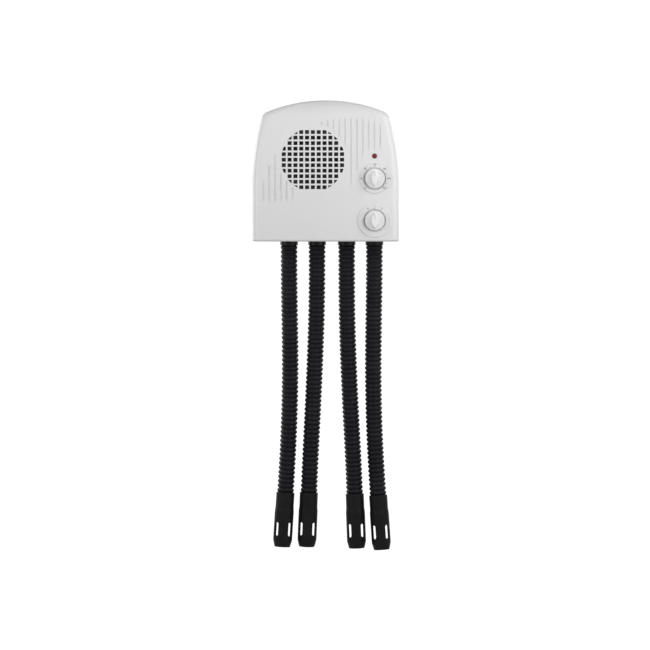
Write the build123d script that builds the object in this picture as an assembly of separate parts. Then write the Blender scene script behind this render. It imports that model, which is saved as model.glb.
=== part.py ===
"""A wall-hung warm-air boot dryer: a fan heater casing with four corrugated hoses below it.

The wall is the plane y = 0 and the front faces -y; x runs across, z up. "Depth" is the distance in
front of the wall. The origin is the middle of the wall plate's four screw holes. Millimetres.
"""

from build123d import *
import math
import os

# Casing: front view, then front surface
CASE_W = 250.0
CASE_H = 239.0
CASE_D = 120.0
BASE_Z = -120.0
SIDE_STRAIGHT = 87.0
SIDE_R = 460.0
TOP_R = 264.0
CORNER_R = 15.0
FOOT_R = 4.0
FOOT_SPARE = 14.0
FOOT_SPARE_R = 10.0
WALL = 2.5
FACE_PLAN_R = 2600.0
FACE_RISE_R = 2000.0
CREST_Z = -50.0
BROW_Z = 92.0
BROW_R = 34.0
BROW_TURN = 62.0
EDGE_R = 13.0
CAVITY_EDGE_R = 7.0
SMALLEST_R = 0.8
FACE_SPARE = 15.0
RIM_DEPTH = 75.0
SEAM_NEAR = 5.5
TOP_Z = BASE_Z + CASE_H
# Depths just behind and in front of all that the front wall carries
SKIN_BACK = CASE_D - 30.0
SKIN_FRONT = CASE_D + 10.0

# Rear cover and wall plate
PLATE_W = 180.0
PLATE_H = 130.0
PLATE_T = 2.5
PLATE_CORNER_R = 8.0
PLATE_WINDOW = (60.0, 46.0)
PLATE_HOLES_X = 130.0
PLATE_HOLES_Z = 80.0
PLATE_HOLE_R = 2.5
HOOK_X = 70.0
HOOK_Z = 54.0
HOOK_W = 14.0
HOOK_T = 3.0
HOOK_TIP_H = 11.0
HOOK_REACH = 8.6
HOOK_TIP_T = 2.2
SLOT_W = 16.0
SLOT_H = 13.0
SLOT_R = 2.0
HOOK_PLAY = 0.1
BACK = 3.3
PARTING = 24.0
REVEAL = 0.6
REAR_EDGE_R = 2.5
LIP_T = 1.6
LIP_LONG = 4.0
LIP_GAP = 0.25
LIP_ROOT = 3.0

# Screws and the posts that take them
BOSSES = [(-112.0, -107.0), (112.0, -107.0), (-90.0, 78.0), (90.0, 78.0)]
BOSS_R = 5.6
BOSS_GAP = 0.2
POST_START = 28.0
POST_R = 4.5
PILOT_DEEP = 12.0
HOUSING_PILOT = 24.0
SEAT = 20.0
HOUSING_SCREW_LONG = 22.0
INNER_SCREW_LONG = 12.0
SCREW_R = 1.7
SCREW_PLAY = 0.3
HEAD_R = 3.6
HEAD_T = 2.4
HEAD_PLAY = 0.5
CROSS_LONG = 5.0
CROSS_W = 1.0
CROSS_DEEP = 1.2
EAR_R = 6.0
EAR_T = 3.0

# Intake grille and the grooves that carry its bars on across the face
GRILLE_X = -21.4
GRILLE_Z = 18.5
GRILLE_R = 54.0
HOLES_ACROSS = 11
PITCH_X = 9.85
PITCH_Z = 9.3
HOLE_W = 6.9
HOLE_H = 6.4
SMALLEST_HOLE = 8.0
GROOVE_W = 3.4
GROOVE_DEEP = 1.2
# Bar number counted from the grille's middle: the groove's low and high ends
GROOVES = {
    -9: (-51, -17), -8: (-51, 8), -7: (-51, 27), -6: (-51, -4), -5: (-51, -17), -4: (-51, -29),
    1: (76, 82), 2: (73, 84), 3: (66, 86), 4: (56, 87), 5: (41, 87), 6: (-22, 87), 7: (2, 87),
    8: (24, 87), 9: (35, 86), 10: (36, 84), 11: (36, 77),
}

# Controls
KNOB_X = 83.5
TIMER_Z = -13.2
MODE_Z = -84.2
TIMER_PAD_R = 25.5
MODE_PAD_R = 29.0
PAD_HIGH = 1.8
PAD_EDGE_R = 1.2
DISH_R = 19.8
DISH_FLOOR_R = 17.0
DISH_DEEP = 2.4
KNOB_R = 16.6
KNOB_BASE = 6.5
GRIP_HIGH = 8.0
GRIP_LONG = 30.0
GRIP_W = 15.5
KNOB_GAP = 0.8
KNOB_DRAFT = 3.0
KNOB_EDGE_R = 1.2
KNOB_WALL = 2.4
KNOB_HUB_R = 5.5
KNOB_HOLLOW = 4.0
GRIP_TIP_R = 3.0
GRIP_DRAFT = 12.0
GRIP_EDGE_R = 1.8
SPINDLE_R = 3.0
SPINDLE_GRIP = 9.0
SPINDLE_HOLE_PLAY = 0.6
RUN = 0.05
TIMER_W = 42.0
TIMER_THICK = 26.0
MODE_W = 34.0
MODE_THICK = 22.0
UNIT_GAP = 1.5
UNIT_CORNER_R = 3.0
UNIT_BUSH_R = 8.0
UNIT_BUSH_HIGH = 1.2
UNIT_FLOOR = 4.0
SPINDLE_END_GAP = 0.3
UNIT_BLADE = (0.8, 6.3)
UNIT_BLADE_LONG = 8.0
UNIT_BLADE_X = 8.0
LAMP_X = 82.8
LAMP_Z = 24.7
LAMP_R = 4.4
LENS_PROUD = 1.6
LENS_EDGE_R = 1.5
LENS_FLANGE = 1.6
LENS_FLANGE_FRONT = 0.8
LENS_FLANGE_BACK = 3.4
LAMP_BODY_R = 5.0
LAMP_LONG = 16.0
LAMP_BLADE = (0.8, 4.0)
LAMP_BLADE_X = 2.5
LAMP_BLADE_LONG = 7.0

# Bush for the mains lead, in the rear cover's underside
GLAND_X = 52.0
GLAND_DEPTH = 13.4
GLAND_R = 6.0
GLAND_RIM_R = 7.2
GLAND_DROP = 3.0
GLAND_TOP = 10.0
GLAND_RIM_T = 3.0
GLAND_PLAY = 0.1
LEAD_R = 3.7

# Terminal block on the rear cover
TERMINAL_X = 10.0
TERMINAL_Z = -98.0
TERMINAL_SIZE = (34.0, 14.0)
TERMINAL_CORNER_R = 1.5
TERMINAL_HIGH = 14.0
TERMINAL_PITCH = 11.0
TERMINAL_HOLE_R = 2.4
TERMINAL_SCREW_R = 2.3
TERMINAL_FLOOR = 4.0
TERMINAL_SCREW_LONG = 5.0

# Motor, on the grille's axis, from its rear yoke forwards
SHAFT_R = 2.5
SHAFT_BACK = 16.0
SHAFT_FRONT = 84.0
ROTOR_R = 13.0
ROTOR_GAP = 0.5
YOKE_T = 2.0
REAR_YOKE = (92.0, 52.0)
REAR_YOKE_BACK = 20.0
FRONT_YOKE = (60.0, 16.0)
FRONT_YOKE_BACK = 48.0
YOKE_CORNER_R = 4.0
BUSH_R = 5.0
BUSH_LONG = 4.0
BUSH_PROUD = 1.0
MOTOR_POST_X = 40.0
MOTOR_POST_Z = 20.0
MOTOR_SCREW_LONG = 10.0
CORE_W = 64.0
CORE_H = 70.0
CORE_BACK = 26.0
CORE_FRONT = 46.0
CORE_LOWER = 8.0
CORE_CORNER_R = 3.0
CORE_WINDOW_W = 38.0
CORE_WINDOWS = [(-27.0, 12.0), (-45.0, 6.0)]
LIMB = (40.0, 9.2)
LIMB_Z = -37.4
LIMB_GAP = 0.4
COIL_W = 36.0
COIL_LOW = -46.1
COIL_HIGH = -23.1
COIL_PROUD = 3.5
COIL_CORNER_R = 2.0
BOLT_X = 25.0
BOLT_R = 1.9
BOLT_HOLE_R = 2.0
BOLT_HEAD_R = 3.8
BOLT_HEAD_T = 2.4
BOLT_NUT_R = 3.5
BOLT_NUT_T = 2.8
SLEEVE_R = 3.5

# Fan and its scroll
FAN_R = 46.0
FAN_BACK = 62.0
FAN_FRONT = 100.0
FAN_DISC_T = 1.6
FAN_RING_W = 4.0
FAN_RING_T = 2.0
FAN_HUB_R = 8.0
FAN_HUB_LONG = 16.0
BLADES = 28
BLADE_T = 1.1
BLADE_DEEP = 10.0
BLADE_BOW = 2.2
BLADE_LEAD = 1.2
BLADE_EDGE = 0.6
NUT_R = 5.0
NUT_LONG = 4.0
SCROLL_R = 62.0
SCROLL_SHIFT = 9.0
SCROLL_LOWER = 2.0
SCROLL_BACK = 56.0
SCROLL_FRONT = 104.0
SCROLL_WALL = 2.0
SCROLL_SHAFT_HOLE_R = 9.0
INLET_R = 41.0
INLET_RIM_W = 2.0
INLET_RIM_HIGH = 4.0
THROAT_W = 52.0
THROAT_Z = -50.0
SCROLL_EARS = [(-78.4, 17.0), (49.9, 40.0)]

# Air manifold, hoses and nozzles
HOSE_X = [-63.5, -15.3, 35.7, 83.4]
HOSE_DEPTH = 60.0
HOSE_R = 14.5
HOSE_BORE_R = 11.6
COLLAR_R = 15.2
COLLAR_DROP = 8.0
SPIGOT_R = 11.5
SPIGOT_BORE_R = 10.0
BOX_LEFT = -84.0
BOX_RIGHT = 104.0
BOX_LOW = -112.0
BOX_HIGH = -88.0
BOX_BACK = 42.0
BOX_FRONT = 78.0
BOX_EARS = [(-88.5, -95.0), (108.5, -92.0)]
SPIGOT_DROP = 4.0
NECK_GAP = 0.2
COLLAR_PLAY = 0.3
SPIGOT_PLAY = 0.1
COLLAR_EDGE_R = 0.5
COLLAR_INSIDE = 6.0
NOZZLE_LONG = 94.0
NOZZLE_TOP_R = 15.6
NOZZLE_TOP_LONG = 24.0
NOZZLE_FLARE_END = 32.0
NOZZLE_END_R = 16.4
NOZZLE_BORE_R = 13.4
NOZZLE_MOUTH_R = 10.8
NOZZLE_NOSE = 12.0
NOSE_INSIDE = 2.0
NOZZLE_TIP_R = 13.4
NOZZLE_STEP = (3.0, 4.0)
NOZZLE_EDGE_R = 1.0
WINDOWS = 4
WINDOW_LONG = 26.0
WINDOW_W = 8.0
WINDOW_FROM_END = 30.0

# Heater in the manifold's neck
HEATER_Z = -68.0
TRAY_HIGH = 24.0
TRAY_GAP = 0.3
TRAY_WALL = 4.0
BLOCK_HIGH = 16.0
BLOCK_GAP = 0.6
FIN_PITCH = 3.2
FIN_SLOT = 2.2
FIN_EDGE = 3.0
CUTOUT_DEPTH = 80.0
CUTOUT_R = 8.0
CUTOUT_FLANGE_T = 1.0
CUTOUT_HIGH = 6.0
CUTOUT_FLANGE = (24.0, 8.0)
CUTOUT_BLADE = (1.0, 5.0)
CUTOUT_BLADE_X = 4.0
CUTOUT_BLADE_TOP = 10.0
# Each hose's route from its collar down to its nozzle, as hand-chosen points
HOSE_ROUTES = [
    [(-63.5, -60, -128), (-63.5, -60, -186), (-62.5, -61.6, -252), (-61.4, -65, -326),
     (-62.3, -69, -402), (-64.8, -73.5, -470), (-67.3, -77, -516), (-69.6, -80, -554)],
    [(-15.3, -60, -128), (-15.3, -60, -180), (-16.1, -62, -246), (-18.5, -66.5, -318),
     (-21.6, -70.5, -392), (-25.1, -74, -462), (-27.5, -76.5, -512), (-29.2, -78.5, -554)],
    [(35.7, -60, -128), (35.7, -60, -184), (36.5, -61.8, -258), (39.2, -66, -336),
     (42.5, -70, -408), (46.2, -74.5, -474), (48.4, -77.5, -518), (49.9, -80.2, -556)],
    [(83.4, -60, -128), (83.4, -60, -182), (82.4, -62.2, -254), (81.5, -66.5, -332),
     (82.4, -71, -410), (85.0, -76, -476), (87.6, -80, -520), (90.2, -83.5, -558)],
]
ARC_SHARE = 0.45

# How far a cutting shape runs past the face that it cuts
OVER = 1.0


def bar(x, z, radius, start, end):
    """A round bar along the depth, between two depths."""
    return extrude(Plane.XZ.offset(start) * Pos(x, z) * Circle(radius), amount=end - start)


def block(x, z, wide, high, start, end, corner=0.0):
    """A rectangular block between two depths, with rounded corners if corner is given."""
    face = RectangleRounded(wide, high, corner) if corner else Rectangle(wide, high)
    return extrude(Plane.XZ.offset(start) * Pos(x, z) * face, amount=end - start)


def upright(x, depth, radius, low, high):
    """A vertical round bar."""
    return extrude(Plane.XY.offset(low) * Pos(x, -depth) * Circle(radius), amount=high - low)


def span(left, right, low, high, start, end):
    """A plain box given by its limits."""
    return block((left + right) / 2, (low + high) / 2, right - left, high - low, start, end)


def all_below(z):
    """A box that holds everything in the casing below a height."""
    return span(-CASE_W, CASE_W, z - CASE_H, z, -OVER, CASE_D)


def group(pieces):
    """Several separate solids as one sub-part."""
    return Part() + list(pieces)


def screw(x, z, seat, long, inwards=1):
    """A pan-head screw whose head sits at the depth seat; inwards -1 drives it towards the wall."""
    tip, top = seat + inwards * long, seat - inwards * HEAD_T
    shank = bar(x, z, SCREW_R, min(seat, tip), max(seat, tip))
    head = bar(x, z, HEAD_R, min(seat, top), max(seat, top))
    drive = sorted((top, top + inwards * CROSS_DEEP))
    across = block(x, z, CROSS_LONG, CROSS_W, *drive)
    down = block(x, z, CROSS_W, CROSS_LONG, *drive)
    return shank + head - across - down


def screws(places, seat, long, inwards=1):
    return group(screw(x, z, seat, long, inwards) for x, z in places)


def outline(inset=0.0, spare=0.0, foot_r=FOOT_R):
    """The casing's front view, moved inwards by inset, with its foot lower by spare."""
    side_r, top_r = SIDE_R - inset, TOP_R - inset
    side = Vector(CASE_W / 2 - SIDE_R, BASE_Z + SIDE_STRAIGHT)
    top = Vector(0, TOP_Z - TOP_R)
    apart = (top - side).length
    along = (side_r**2 - top_r**2 + apart**2) / (2 * apart)
    off = math.sqrt(side_r**2 - along**2)
    ahead = (top - side) * (1 / apart)
    meet = side + ahead * along + Vector(-ahead.Y, ahead.X) * off
    rise = math.degrees(math.atan2(meet.Y - side.Y, meet.X - side.X))
    start = math.degrees(math.atan2(meet.Y - top.Y, meet.X - top.X))
    half, low = CASE_W / 2 - inset, BASE_Z + inset - spare
    edges = [
        CenterArc(side, side_r, 0, rise),
        CenterArc(top, top_r, start, 180 - 2 * start),
        CenterArc((-side.X, side.Y), side_r, 180 - rise, rise),
        Polyline((-half, side.Y), (-half, low), (half, low), (half, side.Y)),
    ]
    face = make_face([e for line in edges for e in line.edges()])
    shoulders = [v for v in face.vertices() if v.Y > side.Y + OVER]
    face = fillet(shoulders, CORNER_R - inset)
    foot = [v for v in face.vertices() if v.Y < low + OVER / 2]
    return fillet(foot, max(foot_r - inset, SMALLEST_R))


def face_body(inset=0.0):
    """All that lies behind the front surface: arched upright and across, with a round brow on top."""
    centre = Vector(FACE_RISE_R - CASE_D, CREST_Z)
    drop = math.degrees(math.asin((CREST_Z - BASE_Z + FACE_SPARE) / FACE_RISE_R))
    lean = math.degrees(math.asin((BROW_Z - CREST_Z) / FACE_RISE_R))
    out = Vector(-math.cos(math.radians(lean)), math.sin(math.radians(lean)))
    brow = centre + out * (FACE_RISE_R - BROW_R)
    face_arc = CenterArc(centre, FACE_RISE_R - inset, 180 + drop, -drop - lean)
    brow_arc = CenterArc(brow, BROW_R - inset, 180 - lean, lean - BROW_TURN)
    high, low = brow_arc @ 1, face_arc @ 0
    back = Polyline(high, (FACE_SPARE, high.Y), (FACE_SPARE, low.Y), low)
    region = make_face([*face_arc.edges(), *brow_arc.edges(), *back.edges()])
    axis = Axis((0, FACE_PLAN_R - CASE_D, 0), (0, 0, 1))
    turn = math.degrees(math.asin((CASE_W / 2 + FACE_SPARE) / FACE_PLAN_R))
    return revolve(Plane.YZ * region, axis, revolution_arc=2 * turn).rotate(axis, -turn)


def case_block(inset, start, edge_r):
    """The casing's outer or inner form in front of the depth start, rounded at its sides and top."""
    front = outline(inset, FOOT_SPARE, FOOT_SPARE_R)
    body = extrude(Plane.XZ.offset(start) * front, amount=CASE_D)
    body &= face_body(inset)
    rim = []
    for edge in body.edges():
        middle = edge.position_at(0.5)
        seam = abs(middle.X) < SEAM_NEAR and abs(middle.Z - BROW_Z) < SEAM_NEAR
        if -max(middle.Y, edge.center().Y) > RIM_DEPTH and not seam:
            rim.append(edge)
    return fillet(rim, edge_r) - all_below(BASE_Z + inset)


def round_foot(body):
    """Rounds the edges of the casing's flat foot, apart from the one at the parting."""
    foot = body.faces().sort_by(Axis.Z)[0].edges()
    return fillet([e for e in foot if -e.position_at(0.5).Y > PARTING + LIP_LONG], FOOT_R)


def surface_depth(x, z):
    """The front surface's depth at a place below the brow."""
    return CASE_D - x**2 / (2 * FACE_PLAN_R) - (z - CREST_Z) ** 2 / (2 * FACE_RISE_R)


def grille_holes():
    """The square intake holes, cut off by the grille's circle."""
    middle = (HOLES_ACROSS - 1) / 2
    squares = Sketch() + [
        Pos((i - middle) * PITCH_X, (j - middle) * PITCH_Z) * Rectangle(HOLE_W, HOLE_H)
        for i in range(HOLES_ACROSS)
        for j in range(HOLES_ACROSS)
    ]
    inside = squares & Circle(GRILLE_R)
    kept = [f for f in inside.faces() if f.area > SMALLEST_HOLE]
    placed = [Plane.XZ.offset(SKIN_BACK) * Pos(GRILLE_X, GRILLE_Z) * f for f in kept]
    return group(extrude(f, amount=SKIN_FRONT - SKIN_BACK) for f in placed)


def grooves():
    """The shallow grooves in the front surface."""
    cutters = []
    for number, (low, high) in GROOVES.items():
        x = GRILLE_X + (number + 0.5) * PITCH_X
        slot = Pos(x, (low + high) / 2) * Rot(0, 0, 90) * SlotOverall(high - low, GROOVE_W)
        cutters.append(extrude(Plane.XZ.offset(SKIN_BACK) * slot, amount=SKIN_FRONT - SKIN_BACK))
    return group(cutters) - face_body(GROOVE_DEEP)


def dial_pad(z, radius):
    """A round pad behind a knob that stands a little proud of the front surface."""
    pad = bar(KNOB_X, z, radius, SKIN_BACK, SKIN_FRONT) & face_body(-PAD_HIGH)
    return fillet(pad.faces().sort_by(Axis.Y)[0].edges(), PAD_EDGE_R)


def dial_dish(z):
    """The shallow dish with sloping sides that a knob stands over."""
    floor = surface_depth(KNOB_X, z) + PAD_HIGH - DISH_DEEP
    disc = Plane.XZ.offset(floor) * Pos(KNOB_X, z) * Circle(DISH_FLOOR_R)
    slope = math.degrees(math.atan2(DISH_R - DISH_FLOOR_R, DISH_DEEP))
    return extrude(disc, amount=2 * DISH_DEEP, taper=-slope)


def front_housing():
    outer = round_foot(case_block(0, PARTING + REVEAL, EDGE_R))
    cavity = case_block(WALL, PARTING, CAVITY_EDGE_R)
    body = outer - cavity
    body += group(bar(x, z, POST_R, POST_START, CASE_D) for x, z in BOSSES) & outer
    for z, radius in ((TIMER_Z, TIMER_PAD_R), (MODE_Z, MODE_PAD_R)):
        body += dial_pad(z, radius) - cavity
    body -= [bar(x, z, SCREW_R, POST_START, POST_START + HOUSING_PILOT) for x, z in BOSSES]
    body -= grille_holes()
    body -= grooves()
    for z in (TIMER_Z, MODE_Z):
        body -= dial_dish(z)
        body -= bar(KNOB_X, z, SPINDLE_R + SPINDLE_HOLE_PLAY, SKIN_BACK, SKIN_FRONT)
    body -= bar(LAMP_X, LAMP_Z, LAMP_R, SKIN_BACK, SKIN_FRONT)
    for x in HOSE_X:
        body -= upright(x, HOSE_DEPTH, COLLAR_R + COLLAR_PLAY, BASE_Z - OVER, BASE_Z + WALL + OVER)
    return body


def rear_cover():
    outer = extrude(Plane.XZ.offset(BACK) * outline(REVEAL), amount=PARTING - BACK)
    outer = fillet(outer.faces().sort_by(Axis.Y)[-1].outer_wire().edges(), REAR_EDGE_R)
    inside = BACK + WALL
    body = outer - extrude(Plane.XZ.offset(inside) * outline(REVEAL + WALL), amount=PARTING)
    lip = outline(WALL + LIP_GAP) - outline(WALL + LIP_GAP + LIP_T)
    body += extrude(Plane.XZ.offset(PARTING - LIP_ROOT) * lip, amount=LIP_ROOT + LIP_LONG)
    for x, z in BOSSES:
        body += bar(x, z, BOSS_R, BACK + WALL / 2, POST_START - BOSS_GAP)
    for x, z in BOSSES:
        body -= bar(x, z, HEAD_R + HEAD_PLAY, BACK - OVER, SEAT)
        body -= bar(x, z, SCREW_R + SCREW_PLAY, SEAT - OVER, POST_START + OVER)
    posts = [(x, z, REAR_YOKE_BACK) for x, z in motor_posts()]
    posts += [(x, z, SCROLL_BACK) for x, z in SCROLL_EARS]
    posts += [(x, z, BOX_BACK) for x, z in BOX_EARS]
    for x, z, top in posts:
        body += bar(x, z, POST_R, BACK + WALL / 2, top)
        body -= bar(x, z, SCREW_R, top - PILOT_DEEP, top)
    slot_z = hook_foot() + HOOK_T / 2 + HOOK_PLAY - SLOT_H / 2
    for side in (-1, 1):
        body -= block(side * HOOK_X, slot_z, SLOT_W, SLOT_H, BACK - OVER, inside + OVER, SLOT_R)
    return body - upright(GLAND_X, GLAND_DEPTH, GLAND_R, BASE_Z - OVER, BASE_Z + 2 * WALL)


def hook_foot():
    """The height of the middle of each hook's foot, below its upturned tip."""
    return HOOK_Z - (HOOK_TIP_H - HOOK_T) / 2


def wall_plate():
    """The plate screwed to the wall, with two upturned hooks that the rear cover hangs on."""
    front = PLATE_T + OVER
    body = block(0, 0, PLATE_W, PLATE_H, 0, PLATE_T, PLATE_CORNER_R)
    body -= block(0, 0, *PLATE_WINDOW, -OVER, front, PLATE_CORNER_R)
    for x in (-PLATE_HOLES_X / 2, PLATE_HOLES_X / 2):
        for z in (-PLATE_HOLES_Z / 2, PLATE_HOLES_Z / 2):
            body -= bar(x, z, PLATE_HOLE_R, -OVER, front)
    for side in (-1, 1):
        x = side * HOOK_X
        body += block(x, hook_foot(), HOOK_W, HOOK_T, PLATE_T - OVER, HOOK_REACH)
        body += block(x, HOOK_Z, HOOK_W, HOOK_TIP_H, HOOK_REACH - HOOK_TIP_T, HOOK_REACH, 1.0)
    return body


def on_axis(radius, start, end):
    """A round bar on the fan's axis."""
    return bar(GRILLE_X, GRILLE_Z, radius, start, end)


def shaft_bore(radius):
    """A cutter for the shaft's whole length."""
    return on_axis(radius, 0, CASE_D)


def motor_posts():
    sides = (-1, 1)
    return [(GRILLE_X + i * MOTOR_POST_X, GRILLE_Z + j * MOTOR_POST_Z) for i in sides for j in sides]


def bolt_bars(radius, start, end):
    """A bar on each of the motor's two through bolts."""
    return group(bar(GRILLE_X + side * BOLT_X, GRILLE_Z, radius, start, end) for side in (-1, 1))


def yoke(size, start):
    """A steel yoke plate with its bush seat and bolt holes."""
    body = block(GRILLE_X, GRILLE_Z, *size, start, start + YOKE_T, YOKE_CORNER_R)
    return body - shaft_bore(BUSH_R) - bolt_bars(BOLT_HOLE_R, 0, CASE_D)


def motor_bracket():
    """The yoke behind the motor, screwed to the rear cover and holding the rear bush."""
    body = yoke(REAR_YOKE, REAR_YOKE_BACK)
    for x, z in motor_posts():
        body -= bar(x, z, SCREW_R + SCREW_PLAY, REAR_YOKE_BACK - OVER, REAR_YOKE_BACK + YOKE_T + OVER)
    return body


def motor_yoke():
    """The front yoke with the front bush."""
    return yoke(FRONT_YOKE, FRONT_YOKE_BACK)


def motor_stator():
    """The laminated core with its rotor bore and the window that the coil sits in."""
    start, end = CORE_BACK - OVER, CORE_FRONT + OVER
    middle = GRILLE_Z - CORE_LOWER
    body = block(GRILLE_X, middle, CORE_W, CORE_H, CORE_BACK, CORE_FRONT, CORE_CORNER_R)
    body -= on_axis(ROTOR_R + ROTOR_GAP, start, end)
    for z, high in CORE_WINDOWS:
        body -= block(GRILLE_X, GRILLE_Z + z, CORE_WINDOW_W, high, start, end)
    return body - bolt_bars(BOLT_HOLE_R, start, end)


def motor_coil():
    """The winding round the core's lower limb."""
    limb = block(GRILLE_X, GRILLE_Z + LIMB_Z, *LIMB, CORE_BACK - LIMB_GAP, CORE_FRONT + LIMB_GAP)
    middle, high = GRILLE_Z + (COIL_LOW + COIL_HIGH) / 2, COIL_HIGH - COIL_LOW
    start, end = CORE_BACK - COIL_PROUD, CORE_FRONT + COIL_PROUD
    wound = block(GRILLE_X, middle, COIL_W, high, start, end, COIL_CORNER_R)
    return wound - limb


def motor_bolts():
    """The two through bolts that clamp core and yokes, each with its nut."""
    back, front = REAR_YOKE_BACK, FRONT_YOKE_BACK + YOKE_T
    shanks = bolt_bars(BOLT_R, back - BOLT_NUT_T, front)
    heads = bolt_bars(BOLT_HEAD_R, front, front + BOLT_HEAD_T)
    return shanks + heads + bolt_bars(BOLT_NUT_R, back - BOLT_NUT_T, back)


def motor_sleeves():
    """The spacer sleeves that keep the yokes clear of the core."""
    behind = bolt_bars(SLEEVE_R, REAR_YOKE_BACK + YOKE_T, CORE_BACK)
    ahead = bolt_bars(SLEEVE_R, CORE_FRONT, FRONT_YOKE_BACK)
    return behind + ahead - bolt_bars(BOLT_HOLE_R, 0, CASE_D)


def motor_bushes():
    starts = (REAR_YOKE_BACK - BUSH_PROUD, FRONT_YOKE_BACK - BUSH_PROUD)
    return group(on_axis(BUSH_R, start, start + BUSH_LONG) for start in starts) - shaft_bore(SHAFT_R + RUN)


def motor_shaft():
    """The shaft with the squirrel-cage rotor on it."""
    return on_axis(SHAFT_R, SHAFT_BACK, SHAFT_FRONT) + on_axis(ROTOR_R, CORE_BACK, CORE_FRONT)


def impeller():
    """The forward-curved centrifugal wheel."""
    body = on_axis(FAN_R, FAN_BACK, FAN_BACK + FAN_DISC_T)
    body += on_axis(FAN_HUB_R, FAN_BACK, FAN_BACK + FAN_HUB_LONG)
    ring = on_axis(FAN_R, FAN_FRONT - FAN_RING_T, FAN_FRONT)
    body += ring - on_axis(FAN_R - FAN_RING_W, FAN_BACK, FAN_FRONT)
    root, tip = FAN_R - BLADE_DEEP, FAN_R - BLADE_EDGE
    arc = ThreePointArc((root, 0), ((root + tip) / 2, BLADE_BOW), (tip, BLADE_LEAD))
    blade = trace(arc, BLADE_T)
    start, end = FAN_BACK + FAN_DISC_T / 2, FAN_FRONT - FAN_RING_T / 2
    for i in range(BLADES):
        turned = Pos(GRILLE_X, GRILLE_Z) * Rot(0, 0, 360 / BLADES * i) * blade
        body += extrude(Plane.XZ.offset(start) * turned, amount=end - start)
    return body - shaft_bore(SHAFT_R)


def impeller_nut():
    seat = Plane.XZ.offset(FAN_BACK + FAN_HUB_LONG) * Pos(GRILLE_X, GRILLE_Z)
    return extrude(seat * RegularPolygon(NUT_R, 6), amount=NUT_LONG) - shaft_bore(SHAFT_R)


def throat_limits():
    """The left and right sides of the scroll's throat and of the manifold's neck below it."""
    right = GRILLE_X + SCROLL_SHIFT + SCROLL_R
    return right - THROAT_W, right


def scroll_outline(inset=0.0):
    """The fan's scroll, an off-centre circle that runs into a throat pointing down."""
    left, right = throat_limits()
    middle_z = GRILLE_Z - SCROLL_LOWER
    round_part = Pos(GRILLE_X + SCROLL_SHIFT, middle_z) * Circle(SCROLL_R - inset)
    throat = Pos((left + right) / 2, (middle_z + THROAT_Z) / 2 - inset)
    return round_part + throat * Rectangle(THROAT_W - 2 * inset, middle_z - THROAT_Z + 2 * inset)


def fan_scroll():
    body = extrude(Plane.XZ.offset(SCROLL_BACK) * scroll_outline(), amount=SCROLL_FRONT - SCROLL_BACK)
    floor = SCROLL_BACK + SCROLL_WALL
    body -= extrude(Plane.XZ.offset(floor) * scroll_outline(SCROLL_WALL), amount=SCROLL_FRONT)
    inner = extrude(Plane.XZ.offset(SCROLL_BACK) * scroll_outline(SCROLL_WALL / 2), amount=SCROLL_FRONT)
    for x, z in SCROLL_EARS:
        body += bar(x, z, EAR_R, SCROLL_BACK, SCROLL_BACK + EAR_T) - inner
        body -= bar(x, z, SCREW_R + SCREW_PLAY, SCROLL_BACK - OVER, SCROLL_BACK + EAR_T + OVER)
    return body - all_below(THROAT_Z) - on_axis(SCROLL_SHAFT_HOLE_R, SCROLL_BACK - OVER, floor + OVER)


def scroll_inlet():
    """The scroll's front plate with the rounded inlet ring."""
    rim_top = SCROLL_FRONT + INLET_RIM_HIGH
    body = extrude(Plane.XZ.offset(SCROLL_FRONT) * scroll_outline(), amount=SCROLL_WALL)
    body += on_axis(INLET_R + INLET_RIM_W, SCROLL_FRONT, rim_top)
    return body - on_axis(INLET_R, SCROLL_FRONT - OVER, rim_top + OVER) - all_below(THROAT_Z)


def air_manifold():
    """The box that shares the warm air between four spigots, with the heater's neck on top."""
    left, right = throat_limits()
    t = SCROLL_WALL
    root = BOX_HIGH - EAR_R
    box = span(BOX_LEFT, BOX_RIGHT, BOX_LOW, BOX_HIGH, BOX_BACK, BOX_FRONT)
    body = box + span(left, right, root, THROAT_Z - NECK_GAP, SCROLL_BACK, SCROLL_FRONT + t)
    for x in HOSE_X:
        body += upright(x, HOSE_DEPTH, SPIGOT_R, BASE_Z - SPIGOT_DROP, BOX_LOW + OVER)
    for x, z in BOX_EARS:
        body += bar(x, z, EAR_R, BOX_BACK, BOX_BACK + EAR_T)
    body -= span(BOX_LEFT + t, BOX_RIGHT - t, BOX_LOW + t, BOX_HIGH - t, BOX_BACK + t, BOX_FRONT - t)
    body -= span(left + t, right - t, root + t, THROAT_Z + OVER, SCROLL_BACK + t, SCROLL_FRONT)
    for x in HOSE_X:
        body -= upright(x, HOSE_DEPTH, SPIGOT_BORE_R, BASE_Z - SPIGOT_DROP - OVER, BOX_LOW + t + OVER)
    for x, z in BOX_EARS:
        body -= bar(x, z, SCREW_R + SCREW_PLAY, BOX_BACK - OVER, BOX_BACK + EAR_T + OVER)
    return body


def tray_limits():
    """The heater tray's left, right, rear and front limits inside the neck."""
    left, right = throat_limits()
    room = SCROLL_WALL + TRAY_GAP
    return left + room, right - room, SCROLL_BACK + room, SCROLL_FRONT - TRAY_GAP


def heater_frame():
    """The insulating tray that holds the heating block in the neck."""
    left, right, back, front = tray_limits()
    low, high, t = HEATER_Z - TRAY_HIGH / 2, HEATER_Z + TRAY_HIGH / 2, TRAY_WALL
    body = span(left, right, low, high, back, front)
    return body - span(left + t, right - t, low - OVER, high + OVER, back + t, front - t)


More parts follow.
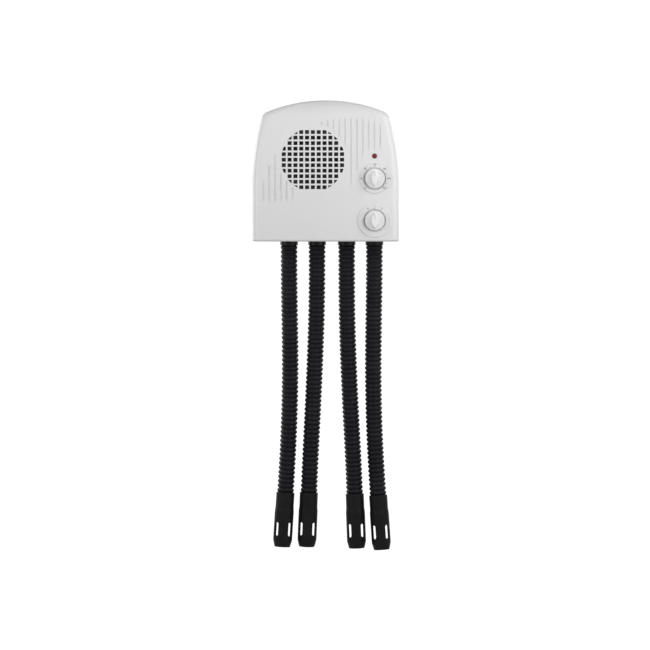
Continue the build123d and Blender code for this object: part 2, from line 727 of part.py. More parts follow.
def heater_block():
    """The finned heating block, with two rows of upright slots."""
    left, right, back, front = tray_limits()
    room = TRAY_WALL + BLOCK_GAP
    left, right, back, front = left + room, right - room, back + room, front - room
    low, high = HEATER_Z - BLOCK_HIGH / 2, HEATER_Z + BLOCK_HIGH / 2
    body = span(left, right, low, high, back, front)
    slots = int((right - left) // FIN_PITCH)
    web = (back + front) / 2
    for i in range(slots):
        x = (left + right) / 2 + (i - (slots - 1) / 2) * FIN_PITCH
        for start, end in ((back + FIN_EDGE, web - FIN_EDGE / 2), (web + FIN_EDGE / 2, front - FIN_EDGE)):
            body -= span(x - FIN_SLOT / 2, x + FIN_SLOT / 2, low - OVER, high + OVER, start, end)
    return body


def thermal_cutout():
    """The bimetal disc that switches the heater off if the air stops, on the neck's right wall."""
    right = throat_limits()[1]
    wall = Plane((right, -CUTOUT_DEPTH, HEATER_Z), x_dir=(0, 1, 0), z_dir=(1, 0, 0))
    body = extrude(wall * Circle(CUTOUT_R), amount=CUTOUT_HIGH)
    body += extrude(wall * Rectangle(*CUTOUT_FLANGE), amount=CUTOUT_FLANGE_T)
    inside = wall.offset(CUTOUT_HIGH - OVER)
    for side in (-1, 1):
        blade = Pos(side * CUTOUT_BLADE_X, 0) * Rectangle(*CUTOUT_BLADE)
        body += extrude(inside * blade, amount=CUTOUT_BLADE_TOP - CUTOUT_HIGH + OVER)
    return body


def cord_gland():
    """The bush that the mains lead would come in by."""
    low, high = BASE_Z - GLAND_DROP, BASE_Z + GLAND_TOP
    under, inside = BASE_Z + REVEAL, BASE_Z + REVEAL + WALL
    body = upright(GLAND_X, GLAND_DEPTH, GLAND_R - GLAND_PLAY, low, high)
    body += upright(GLAND_X, GLAND_DEPTH, GLAND_RIM_R, low, under)
    body += upright(GLAND_X, GLAND_DEPTH, GLAND_RIM_R, inside, inside + GLAND_RIM_T)
    return body - upright(GLAND_X, GLAND_DEPTH, LEAD_R, low - OVER, high + OVER)


def terminal_places():
    return [(TERMINAL_X + i * TERMINAL_PITCH, TERMINAL_Z) for i in (-1, 0, 1)]


def terminal_block():
    seat = BACK + WALL
    body = block(TERMINAL_X, TERMINAL_Z, *TERMINAL_SIZE, seat, seat + TERMINAL_HIGH, TERMINAL_CORNER_R)
    for x, z in terminal_places():
        body -= bar(x, z, TERMINAL_HOLE_R, seat + TERMINAL_FLOOR, seat + TERMINAL_HIGH + OVER)
    return body


def terminal_screws():
    foot = BACK + WALL + TERMINAL_FLOOR
    places = terminal_places()
    return group(bar(x, z, TERMINAL_SCREW_R, foot, foot + TERMINAL_SCREW_LONG) for x, z in places)


def unit_front(z):
    """The depth of the front of a timer or switch body, just behind the front wall."""
    return surface_depth(KNOB_X + TIMER_W / 2, z) - WALL - UNIT_GAP


def control_unit(z, wide, thick):
    """A timer or switch body with its front bush and two connector blades."""
    front = unit_front(z)
    back = front - thick
    body = block(KNOB_X, z, wide, wide, back, front, UNIT_CORNER_R)
    body += bar(KNOB_X, z, UNIT_BUSH_R, front - OVER, front + UNIT_BUSH_HIGH)
    for side in (-1, 1):
        x = KNOB_X + side * UNIT_BLADE_X
        body += block(x, z, *UNIT_BLADE, back - UNIT_BLADE_LONG, back + OVER)
    return body - bar(KNOB_X, z, SPINDLE_R + RUN, back + UNIT_FLOOR, CASE_D)


def knob_seat(z):
    """The depth of the back of a knob."""
    return surface_depth(KNOB_X, z) + PAD_HIGH + KNOB_GAP


def spindle(z, thick):
    start = unit_front(z) - thick + UNIT_FLOOR + SPINDLE_END_GAP
    return bar(KNOB_X, z, SPINDLE_R, start, knob_seat(z) + SPINDLE_GRIP)


def knob(z):
    """A round knob with a raised, lens-shaped grip."""
    seat = knob_seat(z)
    disc = Plane.XZ.offset(seat) * Pos(KNOB_X, z) * Circle(KNOB_R)
    body = extrude(disc, amount=KNOB_BASE, taper=KNOB_DRAFT)
    body = fillet(body.faces().sort_by(Axis.Y)[0].edges(), KNOB_EDGE_R)
    half, long = GRIP_W / 2, GRIP_LONG / 2
    sides = [
        ThreePointArc((0, -long), (half, 0), (0, long)),
        ThreePointArc((0, long), (-half, 0), (0, -long)),
    ]
    lens = make_face([e for s in sides for e in s.edges()])
    lens = fillet(lens.vertices(), GRIP_TIP_R)
    root = Plane.XZ.offset(seat + KNOB_BASE - OVER) * Pos(KNOB_X, z)
    grip = extrude(root * lens, amount=GRIP_HIGH + OVER, taper=GRIP_DRAFT)
    body += fillet(grip.faces().sort_by(Axis.Y)[0].edges(), GRIP_EDGE_R)
    hollow = bar(KNOB_X, z, KNOB_R - KNOB_WALL, seat - OVER, seat + KNOB_HOLLOW)
    body -= hollow - bar(KNOB_X, z, KNOB_HUB_R, seat - 2 * OVER, seat + KNOB_HOLLOW + OVER)
    return body - bar(KNOB_X, z, SPINDLE_R, seat - 2 * OVER, seat + SPINDLE_GRIP)


def lens_back():
    """The depth of the pilot lens's back, where the lamp meets it."""
    return surface_depth(LAMP_X, LAMP_Z) - WALL - LENS_FLANGE_BACK


def pilot_lens():
    front = surface_depth(LAMP_X, LAMP_Z)
    back = lens_back()
    flange_front = front - WALL - LENS_FLANGE_FRONT
    body = bar(LAMP_X, LAMP_Z, LAMP_R - RUN, flange_front - OVER / 2, front + LENS_PROUD)
    body = fillet(body.faces().sort_by(Axis.Y)[0].edges(), LENS_EDGE_R)
    return body + bar(LAMP_X, LAMP_Z, LAMP_R + LENS_FLANGE, back, flange_front)


def pilot_lamp():
    front = lens_back()
    back = front - LAMP_LONG
    body = bar(LAMP_X, LAMP_Z, LAMP_BODY_R, back, front)
    for side in (-1, 1):
        x = LAMP_X + side * LAMP_BLADE_X
        body += block(x, LAMP_Z, *LAMP_BLADE, back - LAMP_BLADE_LONG, back + OVER)
    return body


def route(points):
    """Straight runs joined by tangent arcs, each as large as its two runs allow."""
    corners = [Vector(*p) for p in points]
    radii = []
    for a, b, c in zip(corners, corners[1:], corners[2:]):
        turn = (b - a).get_angle(c - b)
        radii.append(ARC_SHARE * min((b - a).length, (c - b).length) / math.tan(math.radians(turn / 2)))
    print("hose radii", [round(r) for r in radii])
    return FilletPolyline(*corners, radius=radii)


def hose(points):
    path = route(points)
    ring = Circle(HOSE_R) - Circle(HOSE_BORE_R)
    body = sweep(Plane(path @ 0, z_dir=path % 0) * ring, path=path)
    whole = ring.area * path.length
    print("hose length", round(path.length, 1), "volume share", round(body.volume / whole, 4))
    return body


def hose_collar(x):
    """The smooth ring that locks a hose to its spigot."""
    low, high = BASE_Z - COLLAR_DROP, BASE_Z + COLLAR_INSIDE
    body = upright(x, HOSE_DEPTH, COLLAR_R, low, high)
    body = fillet(body.faces().sort_by(Axis.Z)[0].edges(), COLLAR_EDGE_R)
    return body - upright(x, HOSE_DEPTH, SPIGOT_R + SPIGOT_PLAY, low - OVER, high + OVER)


def nozzle(points):
    """The smooth outlet tube on a hose's end, with four windows near its open end."""
    end, before = Vector(*points[-1]), Vector(*points[-2])
    place = Plane(end, x_dir=(1, 0, 0), z_dir=end - before)
    nose = NOZZLE_LONG - NOZZLE_NOSE
    step_start, step_end = NOZZLE_STEP
    profile = [
        (NOZZLE_TOP_R, 0), (NOZZLE_TOP_R, NOZZLE_TOP_LONG), (NOZZLE_END_R, NOZZLE_FLARE_END),
        (NOZZLE_END_R, nose), (NOZZLE_TIP_R, NOZZLE_LONG), (NOZZLE_MOUTH_R, NOZZLE_LONG),
        (NOZZLE_BORE_R, nose + NOSE_INSIDE), (NOZZLE_BORE_R, step_end), (HOSE_BORE_R, step_start),
        (HOSE_BORE_R, 0),
    ]
    section = make_face(Polyline(*profile, close=True).edges())
    body = revolve(Plane.XZ * section, Axis.Z)
    body = fillet(body.faces().sort_by(Axis.Z)[0].edges(), NOZZLE_EDGE_R)
    body = fillet(body.faces().sort_by(Axis.Z)[-1].edges(), NOZZLE_EDGE_R)
    slot = SlotOverall(WINDOW_LONG, WINDOW_W)
    window = Pos(0, 0, NOZZLE_LONG - WINDOW_FROM_END) * Rot(0, 90, 0) * slot
    for i in range(WINDOWS):
        body -= Rot(0, 0, 360 / WINDOWS * (i + 0.5)) * extrude(window, amount=2 * NOZZLE_END_R)
    return place * body


def main():
    os.makedirs("parts", exist_ok=True)
    made = {
        "wall_plate": wall_plate(),
        "rear_cover": rear_cover(),
        "front_housing": front_housing(),
        "housing_screws": screws(BOSSES, SEAT, HOUSING_SCREW_LONG),
        "motor_bracket": motor_bracket(),
        "motor_yoke": motor_yoke(),
        "motor_stator": motor_stator(),
        "motor_coil": motor_coil(),
        "motor_bolts": motor_bolts(),
        "motor_sleeves": motor_sleeves(),
        "motor_bushes": motor_bushes(),
        "motor_screws": screws(motor_posts(), REAR_YOKE_BACK + YOKE_T, MOTOR_SCREW_LONG, -1),
        "motor_shaft": motor_shaft(),
        "impeller": impeller(),
        "impeller_nut": impeller_nut(),
        "fan_scroll": fan_scroll(),
        "scroll_inlet": scroll_inlet(),
        "scroll_screws": screws(SCROLL_EARS, SCROLL_BACK + EAR_T, INNER_SCREW_LONG, -1),
        "air_manifold": air_manifold(),
        "manifold_screws": screws(BOX_EARS, BOX_BACK + EAR_T, INNER_SCREW_LONG, -1),
        "heater_frame": heater_frame(),
        "heater_block": heater_block(),
        "thermal_cutout": thermal_cutout(),
        "timer_unit": control_unit(TIMER_Z, TIMER_W, TIMER_THICK),
        "timer_spindle": spindle(TIMER_Z, TIMER_THICK),
        "timer_knob": knob(TIMER_Z),
        "mode_switch": control_unit(MODE_Z, MODE_W, MODE_THICK),
        "mode_spindle": spindle(MODE_Z, MODE_THICK),
        "mode_knob": knob(MODE_Z),
        "pilot_lens": pilot_lens(),
        "pilot_lamp": pilot_lamp(),
        "cord_gland": cord_gland(),
        "terminal_block": terminal_block(),
        "terminal_screws": terminal_screws(),
    }
    for number, points in enumerate(HOSE_ROUTES, 1):
        made[f"hose_collar_{number}"] = hose_collar(HOSE_X[number - 1])
        made[f"hose_{number}"] = hose(points)
        made[f"nozzle_{number}"] = nozzle(points)
    for name, part in made.items():
        export_step(part, f"parts/{name}.step")


main()
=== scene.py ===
import math

import bmesh
import bpy
import numpy as np
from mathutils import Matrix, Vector
from mathutils.bvhtree import BVHTree


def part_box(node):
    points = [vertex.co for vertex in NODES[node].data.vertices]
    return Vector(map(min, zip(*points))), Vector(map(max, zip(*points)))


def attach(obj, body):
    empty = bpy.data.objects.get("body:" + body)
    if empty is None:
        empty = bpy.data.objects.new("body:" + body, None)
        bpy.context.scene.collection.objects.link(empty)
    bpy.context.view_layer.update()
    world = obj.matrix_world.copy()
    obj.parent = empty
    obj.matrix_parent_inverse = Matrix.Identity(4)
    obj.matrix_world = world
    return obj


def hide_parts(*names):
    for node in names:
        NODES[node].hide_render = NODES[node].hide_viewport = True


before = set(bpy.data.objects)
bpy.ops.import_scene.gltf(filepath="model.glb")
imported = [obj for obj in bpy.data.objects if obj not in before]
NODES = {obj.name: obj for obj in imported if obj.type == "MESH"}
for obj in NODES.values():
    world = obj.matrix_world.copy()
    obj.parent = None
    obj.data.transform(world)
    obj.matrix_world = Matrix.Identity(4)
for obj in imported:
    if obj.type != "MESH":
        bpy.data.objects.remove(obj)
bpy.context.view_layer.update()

SCENE = bpy.context.scene

# ---------------------------------------------------------------- hoses, in metres
HOSE_D = 0.029  # over the ribs
HOSE_BORE_R = 0.0116
RIB_PITCH = 0.0077
RIB_ROOT_R = 0.0121
RIB_CREST = 0.42  # below 1, the crests are broader than the grooves
RIB_RINGS = 10  # rings of points along each rib
RING_POINTS = 48
ROUTE_ORDER = 3
ROUTE_STEPS = 64  # per point of a route
# Each hose's route from its collar down to its nozzle, and its length
HOSE_ROUTES = [
    [(-0.0635, -0.060, -0.128), (-0.0635, -0.060, -0.186), (-0.0625, -0.0616, -0.252),
     (-0.0614, -0.065, -0.326), (-0.0623, -0.069, -0.402), (-0.0648, -0.0735, -0.470),
     (-0.0673, -0.077, -0.516), (-0.0696, -0.080, -0.554)],
    [(-0.0153, -0.060, -0.128), (-0.0153, -0.060, -0.180), (-0.0161, -0.062, -0.246),
     (-0.0185, -0.0665, -0.318), (-0.0216, -0.0705, -0.392), (-0.0251, -0.074, -0.462),
     (-0.0275, -0.0765, -0.512), (-0.0292, -0.0785, -0.554)],
    [(0.0357, -0.060, -0.128), (0.0357, -0.060, -0.184), (0.0365, -0.0618, -0.258),
     (0.0392, -0.066, -0.336), (0.0425, -0.070, -0.408), (0.0462, -0.0745, -0.474),
     (0.0484, -0.0775, -0.518), (0.0499, -0.0802, -0.556)],
    [(0.0834, -0.060, -0.128), (0.0834, -0.060, -0.182), (0.0824, -0.0622, -0.254),
     (0.0815, -0.0665, -0.332), (0.0824, -0.071, -0.410), (0.0850, -0.076, -0.476),
     (0.0876, -0.080, -0.520), (0.0902, -0.0835, -0.558)],
]
HOSE_LENGTHS = [0.427, 0.427, 0.429, 0.431]

# ---------------------------------------------------------------- printed marks, in metres
INK_PROUD = 0.00012
INK_SUNK = 0.0002
TICK_IN, TICK_OUT, TICK_W = 0.0200, 0.0217, 0.0008
NUMBER_R = 0.0236
NUMBER_HIGH = 0.0033
POINTER_IN, POINTER_OUT, POINTER_W = 0.0035, 0.0118, 0.0009
POINTER_STEPS = 6
# Where the numbers stand, in degrees clockwise from the top
TIMER_NUMBERS = {-135: "0", -90: "20", -45: "40", 0: "60", 45: "80", 90: "100", 135: "120"}
MODE_NUMBERS = {-30: "0", 0: "1", 30: "2"}
TIMER_TICK_STEP = 22.5
# In front of everything: from here the surface under a mark is looked up
AHEAD_Y = -1.0

# ---------------------------------------------------------------- camera
VIEW_WIDTH = 1.104  # what the picture spans at the casing's front
VIEW_CENTRE = Vector((-0.0009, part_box("front_housing")[0].y, -0.2615))
VIEW_ELEVATION = math.radians(4.0)
VIEW_AZIMUTH = math.radians(0.7)
LENS = 120.0  # lens and sensor in millimetres
SENSOR = 36.0
FAR_LIMIT = 100.0

# ---------------------------------------------------------------- floor and light
FLOOR_Z = -2.2  # low enough for a view from below
FLOOR_HALF_SIDE = 20.0
FLOOR_GLOW = 0.75
SURROUND_LIGHT = 0.355  # the white surround's strength as light
BACKDROP = 1.03  # and as the camera sees it
AIM = (0.0, -0.06, 0.0)
# Name, place, aim, width and height, power in watts
LIGHTS = [
    ("strip_right", (0.52, -0.80, 0.24), AIM, (0.40, 0.9), 1.6),
    ("side_right", (0.50, -0.40, 0.05), (0.1, -0.1, 0.0), (0.10, 0.8), 1.3),
    ("soft_front", (-0.10, -0.70, 0.24), AIM, (0.4, 0.4), 0.5),
    ("fill_left", (-0.70, -0.62, 0.05), AIM, (0.3, 0.6), 2.1),
    ("back_left", (-1.2, 0.7, 0.0), AIM, (0.8, 0.8), 7.0),
    ("back_right", (0.9, 1.15, 0.20), AIM, (0.8, 0.8), 5.0),
    ("overhead", (0.6, 0.2, 1.5), AIM, (0.8, 0.8), 1.6),
]

# ---------------------------------------------------------------- looks of the hidden pieces
# Plain plastics and rubber: name, colour, roughness and the nodes that have it
PLASTICS = [
    ("fan_grey", (0.10, 0.10, 0.105), 0.45, ["impeller"]),
    ("duct_grey", (0.07, 0.07, 0.073), 0.5, ["fan_scroll", "scroll_inlet", "air_manifold"]),
    ("tray_mica", (0.55, 0.46, 0.28), 0.6, ["heater_frame"]),
    ("contact_black", (0.03, 0.03, 0.03), 0.4,
     ["thermal_cutout", "timer_unit", "mode_switch", "pilot_lamp"]),
    ("acetal", (0.75, 0.75, 0.72), 0.35, ["timer_spindle", "mode_spindle", "terminal_block"]),
    ("gland_rubber", (0.02, 0.02, 0.02), 0.7, ["cord_gland"]),
]
BRUSHED = (1, 40, 1)
# Metals: name, colour, roughness, how far the streaks are squeezed on each axis, nodes
METALS = [
    ("zinc_steel", (0.62, 0.62, 0.60), 0.35, BRUSHED,
     ["motor_bracket", "motor_yoke", "motor_sleeves", "housing_screws", "motor_bolts",
      "motor_screws", "scroll_screws", "manifold_screws"]),
    ("laminations", (0.20, 0.20, 0.22), 0.45, (1, 900, 1), ["motor_stator"]),
    ("copper_wire", (0.72, 0.32, 0.14), 0.35, (1, 1, 500), ["motor_coil"]),
    ("bronze", (0.62, 0.45, 0.22), 0.4, BRUSHED, ["motor_bushes", "terminal_screws"]),
    ("black_steel", (0.03, 0.03, 0.033), 0.5, BRUSHED, ["impeller_nut", "motor_shaft"]),
    ("heater_fins", (0.70, 0.70, 0.70), 0.4, BRUSHED, ["heater_block"]),
]


def make_camera():
    data = bpy.data.cameras.new("camera")
    data.lens, data.sensor_width = LENS, SENSOR
    data.clip_end = FAR_LIMIT
    camera = bpy.data.objects.new("camera", data)
    SCENE.collection.objects.link(camera)
    far = VIEW_WIDTH * LENS / SENSOR
    level = math.cos(VIEW_ELEVATION)
    back = Vector((math.sin(VIEW_AZIMUTH) * level, -math.cos(VIEW_AZIMUTH) * level,
                   math.sin(VIEW_ELEVATION)))
    camera.location = VIEW_CENTRE + back * far
    camera.rotation_euler = (math.pi / 2 - VIEW_ELEVATION, 0, VIEW_AZIMUTH)
    SCENE.camera = camera


# ---------------------------------------------------------------- node material helpers
class Shader:
    """A principled material, with short calls for the nodes that feed it."""

    def __init__(self, name, colour, rough, **inputs):
        self.material = bpy.data.materials.new(name)
        self.material.use_nodes = True
        self.tree = self.material.node_tree
        self.bsdf = self.tree.nodes["Principled BSDF"]
        self.bsdf.inputs["Base Color"].default_value = (*colour, 1)
        self.bsdf.inputs["Roughness"].default_value = rough
        for key, value in inputs.items():
            self.bsdf.inputs[key.replace("_", " ")].default_value = value
        self.place = self.node("ShaderNodeTexCoord").outputs["Object"]
        self.height = None

    def node(self, kind, **settings):
        made = self.tree.nodes.new(kind)
        for key, value in settings.items():
            setattr(made, key, value)
        return made

    def join(self, source, target):
        self.tree.links.new(source, target)

    def stretched(self, scale):
        """Object coordinates with their own scale on each axis."""
        mapping = self.node("ShaderNodeMapping")
        mapping.inputs["Scale"].default_value = scale
        self.join(self.place, mapping.inputs["Vector"])
        return mapping.outputs["Vector"]

    def noise(self, scale, detail=3.0, rough=0.5, place=None):
        """A noise that varies over place, or else over the object's own coordinates."""
        made = self.node("ShaderNodeTexNoise")
        made.inputs["Scale"].default_value = scale
        made.inputs["Detail"].default_value = detail
        made.inputs["Roughness"].default_value = rough
        self.join(place or self.place, made.inputs["Vector"])
        return made.outputs["Fac"]

    def ramp(self, source, low, high, start=0.3, end=0.7):
        """A value that goes from low to high as source goes from start to end."""
        made = self.node("ShaderNodeMapRange")
        ends = {"From Min": start, "From Max": end, "To Min": low, "To Max": high}
        for key, value in ends.items():
            made.inputs[key].default_value = value
        self.join(source, made.inputs["Value"])
        return made.outputs["Result"]

    def blend(self, amount, first, second):
        """The base colour goes from first to second as amount goes from 0 to 1."""
        made = self.node("ShaderNodeMix", data_type="RGBA")
        made.inputs["A"].default_value = (*first, 1)
        made.inputs["B"].default_value = (*second, 1)
        self.join(amount, made.inputs["Factor"])
        self.join(made.outputs["Result"], self.bsdf.inputs["Base Color"])

    def roughness(self, source, low, high, start=0.3, end=0.7):
        self.join(self.ramp(source, low, high, start, end), self.bsdf.inputs["Roughness"])

    def bump(self, source, strength, distance):
        """A bump on top of those already given."""
        made = self.node("ShaderNodeBump")
        made.inputs["Strength"].default_value = strength
        made.inputs["Distance"].default_value = distance
        self.join(source, made.inputs["Height"])
        if self.height is not None:
            self.join(self.height, made.inputs["Normal"])
        self.height = made.outputs["Normal"]
        self.join(self.height, self.bsdf.inputs["Normal"])


def grained(name, colour, rough, grain, depth, **inputs):
    """Plastic with a fine spark grain and uneven gloss."""
    s = Shader(name, colour, rough, **inputs)
    s.roughness(s.noise(scale=16.0, detail=2.0), low=rough - 0.03, high=rough + 0.04)
    s.bump(s.noise(scale=grain, detail=2.0, rough=0.6), strength=0.35, distance=depth)
    return s


def moulded(name, colour, rough, grain=2600.0, depth=0.00003, tone=0.03):
    """Grained plastic with a faint flow tone."""
    s = grained(name, colour, rough, grain, depth)
    darker = tuple(c * (1 - tone) for c in colour)
    s.blend(s.ramp(s.noise(scale=9.0, detail=4.0), low=0, high=1), darker, colour)
    return s


def casing_plastic(name, colour, rough):
    """Moulded plastic whose surface also waves a little."""
    s = moulded(name, colour, rough, grain=1800.0, depth=0.00002, tone=0.02)
    s.bump(s.noise(scale=24.0, detail=2.0), strength=0.15, distance=0.0003)
    return s.material


def dusty_black(name, colour, rough, specular, grain, depth, dust_scale, clean, dusted):
    """Grained black plastic with uneven dust: its colour varies from clean to dusted."""
    s = grained(name, colour, rough, grain, depth, Specular_IOR_Level=specular)
    dust = s.noise(scale=dust_scale, detail=5.0, rough=0.65)
    s.blend(s.ramp(dust, low=0, high=1, start=0.42, end=0.75), clean, dusted)
    return s.material


def metal(name, colour, rough, streak):
    """Brushed metal."""
    s = Shader(name, colour, rough, Metallic=1.0)
    brushed = s.noise(scale=60.0, detail=5.0, rough=0.7, place=s.stretched(streak))
    s.roughness(brushed, low=rough - 0.08, high=rough + 0.12)
    darker = tuple(c * 0.86 for c in colour)
    s.blend(s.ramp(brushed, low=0, high=1), darker, colour)
    s.bump(brushed, strength=0.2, distance=0.0001)
    return s.material


def red_lens():
    """Glossy red plastic that lets some light through."""
    s = Shader("lamp_red", (0.26, 0.022, 0.028), 0.12, Transmission_Weight=0.25, Coat_Weight=0.5)
    s.roughness(s.noise(scale=300.0), low=0.10, high=0.18)
    return s.material


# ---------------------------------------------------------------- mesh helpers
def add_mesh(name, bm, material, smooth=True):
    bm.normal_update()
    mesh = bpy.data.meshes.new(name)
    bm.to_mesh(mesh)
    bm.free()
    mesh.materials.append(material)
    for polygon in mesh.polygons:
        polygon.use_smooth = smooth
    made = bpy.data.objects.new(name, mesh)
    SCENE.collection.objects.link(made)
    return made


def route_line(points):
    """Points along the smooth line that a hose follows: a NURBS spline through its route."""
    curve = bpy.data.curves.new("route", "CURVE")
    curve.dimensions = "3D"
    spline = curve.splines.new("NURBS")
    spline.points.add(len(points) - 1)
    for point, place in zip(spline.points, points):
        point.co = (*place, 1)
    spline.order_u = ROUTE_ORDER
    spline.use_endpoint_u = True
    spline.resolution_u = ROUTE_STEPS
    holder = bpy.data.objects.new("route", curve)
    mesh = bpy.data.meshes.new_from_object(holder)
    line = np.array([v.co for v in mesh.vertices], float)
    bpy.data.objects.remove(holder)
    bpy.data.meshes.remove(mesh)
    bpy.data.curves.remove(curve)
    return line


def distances(line):
    """How far along a line each of its points lies."""
    return np.concatenate([[0], np.cumsum(np.linalg.norm(np.diff(line, axis=0), axis=1))])


def spaced(line, count):
    """count + 1 points evenly spaced along a line."""
    along = distances(line)
    at = np.linspace(0, along[-1], count + 1)
    return np.stack([np.interp(at, along, line[:, k]) for k in range(3)], axis=1)


def rib_radius(phase):
    """The hose wall's outer radius at a place in one rib: a round crest over a narrower root."""
    wave = 0.5 + 0.5 * math.cos(2 * math.pi * phase)
    return RIB_ROOT_R + (HOSE_D / 2 - RIB_ROOT_R) * wave ** RIB_CREST


def corrugated_hose(name, points, material):
    """A hose with annular ribs outside and a plain bore, and the points along its middle.

    Both ends are closed and fall on a groove between ribs."""
    line = route_line(points)
    ribs = round(distances(line)[-1] / RIB_PITCH)
    centres = spaced(line, ribs * RIB_RINGS)
    tangents = np.gradient(centres, axis=0)
    bm = bmesh.new()
    rings = []
    for number, (centre, tangent) in enumerate(zip(centres, tangents)):
        ahead = Vector(tangent).normalized()
        side = Vector((1, 0, 0)) - ahead * ahead.x
        side.normalize()
        up = ahead.cross(side)
        pair = []
        for radius in (rib_radius(number / RIB_RINGS + 0.5), HOSE_BORE_R):
            pair.append([
                bm.verts.new(Vector(centre) + (side * math.cos(a) + up * math.sin(a)) * radius)
                for a in (2 * math.pi * k / RING_POINTS for k in range(RING_POINTS))
            ])
        rings.append(pair)
    for (outer, inner), (outer_next, inner_next) in zip(rings, rings[1:]):
        for k in range(RING_POINTS):
            n = (k + 1) % RING_POINTS
            bm.faces.new((outer[k], outer[n], outer_next[n], outer_next[k]))
            bm.faces.new((inner[n], inner[k], inner_next[k], inner_next[n]))
    for outer, inner in (rings[0], rings[-1]):
        for k in range(RING_POINTS):
            n = (k + 1) % RING_POINTS
            bm.faces.new((outer[n], outer[k], inner[k], inner[n]))
    bmesh.ops.recalc_face_normals(bm, faces=bm.faces)
    return add_mesh(name, bm, material), centres


def make_hoses():
    material = dusty_black("hose_black", (0.010, 0.010, 0.012), 0.46, specular=0.2,
                           grain=1500.0, depth=0.00004, dust_scale=38.0,
                           clean=(0.008, 0.0075, 0.0105), dusted=(0.016, 0.015, 0.019))
    for number, (points, length) in enumerate(zip(HOSE_ROUTES, HOSE_LENGTHS), 1):
        hose, centres = corrugated_hose(f"ribbed_hose_{number}", points, material)
        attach(hose, "casing")
        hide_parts(f"hose_{number}")


# ---------------------------------------------------------------- marks on dials and knobs
def tree_of(name):
    """A CAD node's surface, for looking up points on it."""
    mesh = NODES[name].data
    return BVHTree.FromPolygons([v.co for v in mesh.vertices],
                                [p.vertices for p in mesh.polygons])


def middle_of(knob):
    """The x and z of a knob's axis."""
    low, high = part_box(knob)
    return (low.x + high.x) / 2, (low.z + high.z) / 2


def on_surface(tree, x, z, proud):
    """The point that a mark's corner has on a node's front, lifted off it by proud."""
    hit = tree.ray_cast(Vector((x, AHEAD_Y, z)), Vector((0, 1, 0)))[0]
    return Vector((x, hit.y - proud, z))


def lay_mark(bm, tree, points, faces):
    """Adds a flat mark, given by points in x and z, as a thin closed layer on a node's front."""
    front = [bm.verts.new(on_surface(tree, x, z, INK_PROUD)) for x, z in points]
    back = [bm.verts.new(on_surface(tree, x, z, -INK_SUNK)) for x, z in points]
    edges = {}
    for face in faces:
        bm.faces.new([front[i] for i in face])
        bm.faces.new([back[i] for i in reversed(face)])
        for a, b in zip(face, face[1:] + face[:1]):
            edges[a, b] = True
    for a, b in edges:
        if (b, a) not in edges:
            bm.faces.new((front[b], front[a], back[a], back[b]))


def turned(centre, degrees, x, z):
    """A point given on an upright dial, turned clockwise about the dial's centre."""
    a = math.radians(degrees)
    return (centre[0] + x * math.cos(a) + z * math.sin(a),
            centre[1] - x * math.sin(a) + z * math.cos(a))


def digits(text):
    """A number's flat mesh, one unit high and centred: its points and faces."""
    curve = bpy.data.curves.new("digits", "FONT")
    curve.body = text
    curve.align_x = "CENTER"
    curve.resolution_u = 3
    holder = bpy.data.objects.new("digits", curve)
    mesh = bpy.data.meshes.new_from_object(holder)
    points = np.array([v.co[:2] for v in mesh.vertices])
    faces = [list(p.vertices) for p in mesh.polygons]
    high = points[:, 1].max() - points[:, 1].min()
    points = (points - (points.max(0) + points.min(0)) / 2) / high
    bpy.data.objects.remove(holder)
    bpy.data.meshes.remove(mesh)
    bpy.data.curves.remove(curve)
    return points, faces


def dial_marks(name, knob, ticks, numbers, material):
    """The ticks and numbers printed round a knob."""
    tree = tree_of("front_housing")
    centre = middle_of(knob)
    bm = bmesh.new()
    half = TICK_W / 2
    corners = [(-half, TICK_IN), (half, TICK_IN), (half, TICK_OUT), (-half, TICK_OUT)]
    for angle in ticks:
        lay_mark(bm, tree, [turned(centre, angle, *c) for c in corners], [[0, 1, 2, 3]])
    for angle, text in numbers.items():
        points, faces = digits(text)
        middle = turned(centre, angle, 0, NUMBER_R)
        placed = [(middle[0] + x * NUMBER_HIGH, middle[1] + z * NUMBER_HIGH) for x, z in points]
        lay_mark(bm, tree, placed, faces)
    marks = add_mesh(name, bm, material, smooth=False)
    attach(marks, "casing")


def pointer(name, knob, body, material):
    """The line printed along the upper half of a knob's grip."""
    x, z = middle_of(knob)
    span = POINTER_OUT - POINTER_IN
    rows = [POINTER_IN + span * i / POINTER_STEPS for i in range(POINTER_STEPS + 1)]
    points = [(x + side * POINTER_W / 2, z + row) for row in rows for side in (-1, 1)]
    faces = [[2 * i, 2 * i + 1, 2 * i + 3, 2 * i + 2] for i in range(POINTER_STEPS)]
    bm = bmesh.new()
    lay_mark(bm, tree_of(knob), points, faces)
    line = add_mesh(name, bm, material, smooth=False)
    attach(line, body)


def make_marks():
    ink = moulded("ink_grey", (0.16, 0.16, 0.17), 0.5, grain=900.0, depth=0.00001,
                  tone=0.25).material
    first, last = min(TIMER_NUMBERS), max(TIMER_NUMBERS)
    gaps = round((last - first) / TIMER_TICK_STEP)
    timer_ticks = [first + TIMER_TICK_STEP * i for i in range(gaps + 1)]
    dial_marks("timer_marks", "timer_knob", timer_ticks, TIMER_NUMBERS, ink)
    dial_marks("mode_marks", "mode_knob", MODE_NUMBERS, MODE_NUMBERS, ink)
    faint = moulded("pointer_grey", (0.55, 0.55, 0.56), 0.4, grain=900.0,
                    depth=0.00001).material
    pointer("timer_pointer", "timer_knob", "timer_dial", faint)
    pointer("mode_pointer", "mode_knob", "mode_dial", faint)


# ---------------------------------------------------------------- materials of the CAD nodes
def paint(material, *names):
    for name in names:
        mesh = NODES[name].data
        mesh.materials.clear()
        mesh.materials.append(material)


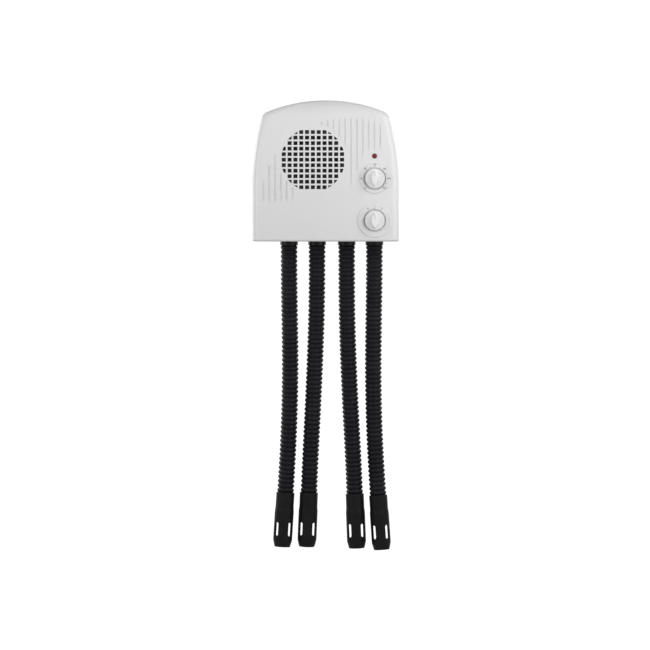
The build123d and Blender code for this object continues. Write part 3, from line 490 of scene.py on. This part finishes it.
def paint_nodes():
    paint(casing_plastic("casing_white", (0.800, 0.800, 0.808), 0.32), "front_housing")
    paint(casing_plastic("casing_back", (0.74, 0.75, 0.76), 0.45), "rear_cover")
    knob_white = moulded("knob_white", (0.89, 0.89, 0.89), 0.3, grain=2400.0, depth=0.000015,
                         tone=0.02)
    paint(knob_white.material, "timer_knob", "mode_knob")
    plate_grey = moulded("plate_grey", (0.36, 0.37, 0.38), 0.5, grain=900.0, depth=0.0001)
    paint(plate_grey.material, "wall_plate")
    paint(red_lens(), "pilot_lens")
    black = dusty_black("smooth_black", (0.009, 0.009, 0.0105), 0.38, specular=0.25,
                        grain=1200.0, depth=0.00003, dust_scale=45.0,
                        clean=(0.007, 0.007, 0.008), dusted=(0.014, 0.014, 0.016))
    for number in range(1, len(HOSE_ROUTES) + 1):
        paint(black, f"hose_collar_{number}", f"nozzle_{number}")
    for name, colour, rough, nodes in PLASTICS:
        paint(moulded(name, colour, rough).material, *nodes)
    for name, colour, rough, streak, nodes in METALS:
        paint(metal(name, colour, rough, streak), *nodes)


# ---------------------------------------------------------------- floor and light
def make_floor():
    """A pale floor, hidden from bounce light, which would light the casing from below."""
    bm = bmesh.new()
    bmesh.ops.create_grid(bm, x_segments=1, y_segments=1, size=FLOOR_HALF_SIDE)
    floor_paint = Shader("floor_white", (0.9, 0.9, 0.9), 0.8, Emission_Strength=FLOOR_GLOW)
    floor_paint.bsdf.inputs["Emission Color"].default_value = (1, 1, 1, 1)
    floor = add_mesh("floor", bm, floor_paint.material, smooth=False)
    floor.location.z = FLOOR_Z
    floor.visible_diffuse = floor.visible_glossy = floor.visible_shadow = False


def area_light(name, place, aim, size, power):
    data = bpy.data.lights.new(name, "AREA")
    data.shape, data.size, data.size_y = "RECTANGLE", *size
    data.energy = power
    made = bpy.data.objects.new(name, data)
    SCENE.collection.objects.link(made)
    made.location = place
    made.rotation_euler = (Vector(aim) - Vector(place)).to_track_quat("-Z", "Y").to_euler()


def make_light():
    """A white surround, dimmer as light than as backdrop, and soft lights round the object."""
    world = bpy.data.worlds.new("studio")
    SCENE.world = world
    world.use_nodes = True
    nodes, links = world.node_tree.nodes, world.node_tree.links
    back = nodes["Background"]
    back.inputs["Color"].default_value = (1, 1, 1, 1)
    seen = nodes.new("ShaderNodeLightPath").outputs["Is Camera Ray"]
    strength = nodes.new("ShaderNodeMapRange")
    strength.inputs["To Min"].default_value = SURROUND_LIGHT
    strength.inputs["To Max"].default_value = BACKDROP
    links.new(seen, strength.inputs["Value"])
    links.new(strength.outputs["Result"], back.inputs["Strength"])
    for light in LIGHTS:
        area_light(*light)
    SCENE.view_settings.view_transform = "Standard"


make_camera()
make_hoses()
make_marks()
paint_nodes()
make_floor()
make_light()
